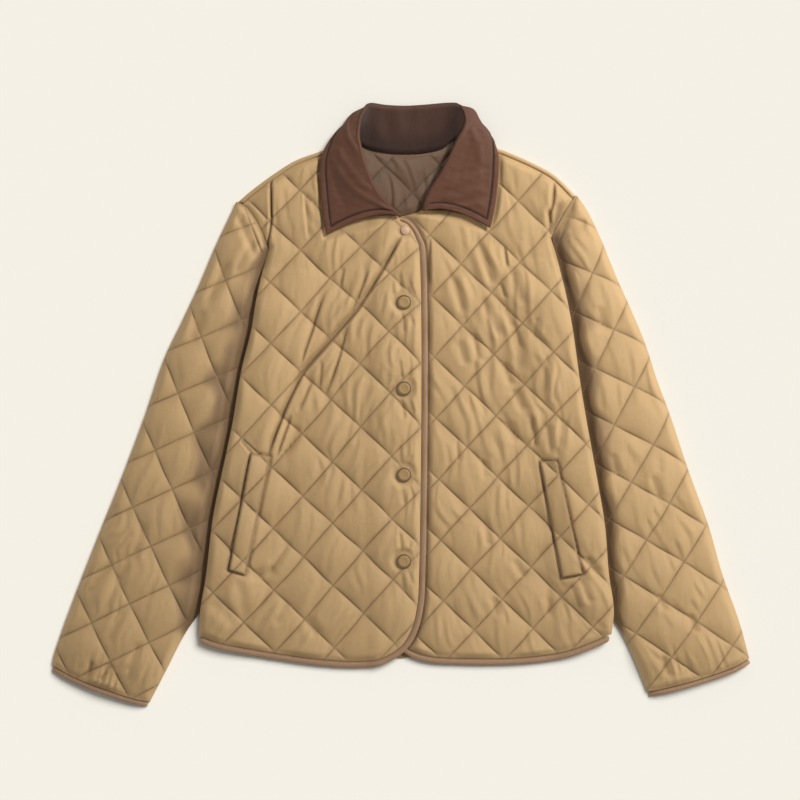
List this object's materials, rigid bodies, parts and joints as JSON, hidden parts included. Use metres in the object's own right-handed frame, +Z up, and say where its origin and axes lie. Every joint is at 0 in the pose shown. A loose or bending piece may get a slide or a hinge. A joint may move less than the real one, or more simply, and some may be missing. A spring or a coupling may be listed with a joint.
{
  "type": "quilted jacket",
  "caption": "Diamond-quilted jacket laid flat, with a plain turn-down collar, bound edges, slanted welt pockets and a snap front.",
  "frame": {"origin": "centre of the laid-out jacket's outline, on the surface it lies on", "axes": "+Z up from the surface through the layers, +Y from hem to collar, +X towards the wearer's left sleeve"},
  "size_m": [0.8377, 0.7232, 0.0233],
  "materials": {
    "shell": "camel woven nylon, diamond quilted, soft sheen",
    "collar": "dark brown smooth woven cloth, satin",
    "lining": "taupe quilted lining, smooth",
    "binding": "pinkish tan bias tape",
    "snap": "camel enamelled snap cap, satin",
    "stud": "pale pinkish enamelled stud, satin"
  },
  "bodies": {
    "root": {"back_panel": "shell", "front_right": "shell", "front_left": "shell", "sleeve_right": "shell", "sleeve_left": "shell", "collar": "collar", "lining_neck": "lining", "binding_front_right": "binding", "binding_front_left": "binding", "binding_back": "binding", "binding_cuff_right": "binding", "binding_cuff_left": "binding", "welt_right": "shell", "welt_left": "shell", "snap_1": "snap", "snap_2": "snap", "snap_3": "snap", "snap_4": "snap", "stud_neck": "stud"}
  },
  "joints": []
}
